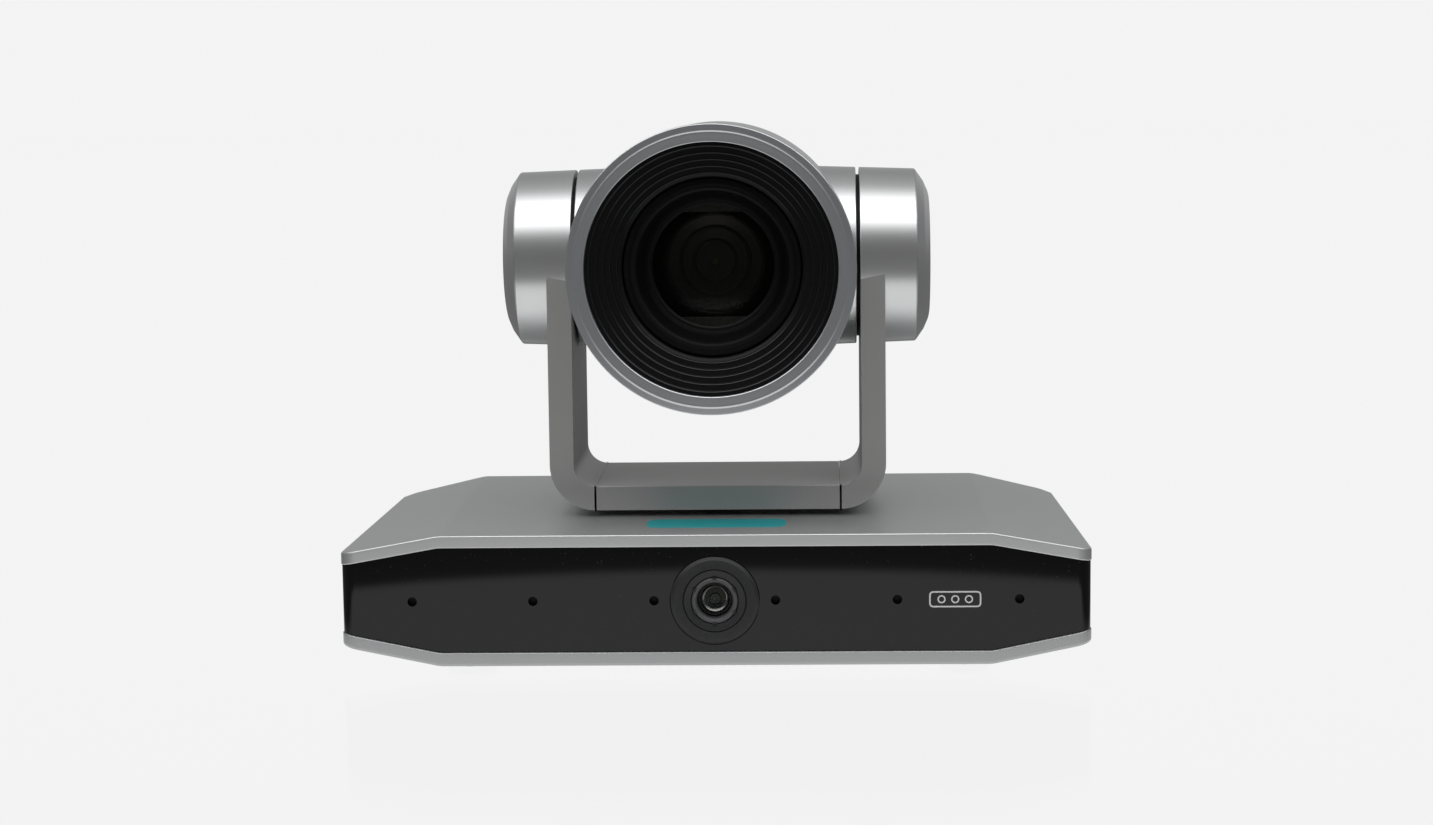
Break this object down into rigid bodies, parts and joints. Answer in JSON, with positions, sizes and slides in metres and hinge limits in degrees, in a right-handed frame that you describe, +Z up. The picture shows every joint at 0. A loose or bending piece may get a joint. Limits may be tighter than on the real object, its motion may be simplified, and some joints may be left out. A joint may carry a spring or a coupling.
{
  "type": "pan tilt zoom camera",
  "caption": "Desktop pan, tilt and zoom camera: wide low base with a fixed wide-angle lens and microphones, a panning U-shaped yoke and a tilting round zoom camera head.",
  "frame": {"origin": "on the ground under the pan axis, at the centre of the base", "axes": "+Z up, the lenses face -Y, +X to the right seen from in front"},
  "size_m": [0.276, 0.156, 0.2005],
  "materials": {
    "silver": "satin silver paint",
    "satin": "satin silver paint",
    "gloss_black": "glossy black",
    "matt_black": "fine matt black",
    "glass": "coated lens glass",
    "steel": "turned bright metal",
    "brass": "turned",
    "circuit": "green circuit board",
    "rubber": "matt",
    "grey_metal": "dull grey metal"
  },
  "bodies": {
    "base": {"base_bottom_cover": "silver", "base_top_cover": "silver", "front_panel": "gloss_black", "rear_panel": "matt_black", "port_plate_left": "matt_black", "port_plate_middle": "matt_black", "port_plate_right": "matt_black", "aux_lens_bezel": "matt_black", "aux_lens_barrel": "grey_metal", "aux_lens_glass": "glass", "aux_sensor_board": "circuit", "main_board": "circuit", "mic_board_left": "circuit", "mic_board_right": "circuit", "microphone_1": "steel", "microphone_2": "steel", "microphone_3": "steel", "microphone_4": "steel", "microphone_5": "steel", "microphone_6": "steel", "power_port": "matt_black", "lan_port": "steel", "hdmi_port": "steel", "usb_port": "steel", "control_port": "matt_black", "audio_port": "matt_black", "tripod_insert": "brass", "foot_1": "rubber", "foot_2": "rubber", "foot_3": "rubber", "foot_4": "rubber", "pan_motor": "grey_metal", "pan_bearing": "steel", "chassis_plate": "steel", "pan_belt": "rubber"},
    "pan_drive": {"pan_motor_pulley": "steel"},
    "yoke": {"yoke_cross_bar": "satin", "yoke_left_arm": "satin", "yoke_right_arm": "satin", "left_ear_cap": "silver", "right_ear_cap": "silver", "pan_shaft": "steel", "pan_pulley": "matt_black", "tilt_bearing_left": "steel", "tilt_bearing_right": "steel", "tilt_motor": "grey_metal", "tilt_belt": "rubber"},
    "tilt_drive": {"tilt_motor_pulley": "steel"},
    "head": {"head_front_shell": "satin", "head_rear_shell": "satin", "front_ring": "silver", "lens_hood": "gloss_black", "lens_barrel": "matt_black", "lens_front_glass": "glass", "sensor_board": "circuit", "tilt_shaft_left": "steel", "tilt_shaft_right": "steel", "tilt_pulley": "matt_black"},
    "zoom_carriage": {"zoom_group": "matt_black"},
    "focus_carriage": {"focus_group": "matt_black"}
  },
  "joints": [
    {"name": "pan", "type": "hinge", "parent": "base", "child": "yoke", "pos_m": [0, 0, 0.0511], "axis": [0, 0, 1], "range_deg": [-170, 170]},
    {"name": "tilt", "type": "hinge", "parent": "yoke", "child": "head", "pos_m": [0, 0, 0.1476], "axis": [-1, 0, 0], "range_deg": [-30, 90]},
    {"name": "pan_drive_spin", "type": "hinge", "parent": "base", "child": "pan_drive", "pos_m": [-0.048, -0.012, 0.0401], "axis": [0, 0, 1], "range_deg": [-585, 585]},
    {"name": "tilt_drive_spin", "type": "hinge", "parent": "yoke", "child": "tilt_drive", "pos_m": [0.076, 0, 0.1296], "axis": [-1, 0, 0], "range_deg": [-92, 272]},
    {"name": "zoom_slide", "type": "slide", "parent": "head", "child": "zoom_carriage", "axis": [0, -1, 0], "range_m": [-0.006, 0.012]},
    {"name": "focus_slide", "type": "slide", "parent": "head", "child": "focus_carriage", "axis": [0, -1, 0], "range_m": [-0.005, 0.005]}
  ],
  "couplings": [
    {"joint": "pan_drive_spin", "follows": "pan", "ratio": 3.4286},
    {"joint": "tilt_drive_spin", "follows": "tilt", "ratio": 3}
  ]
}
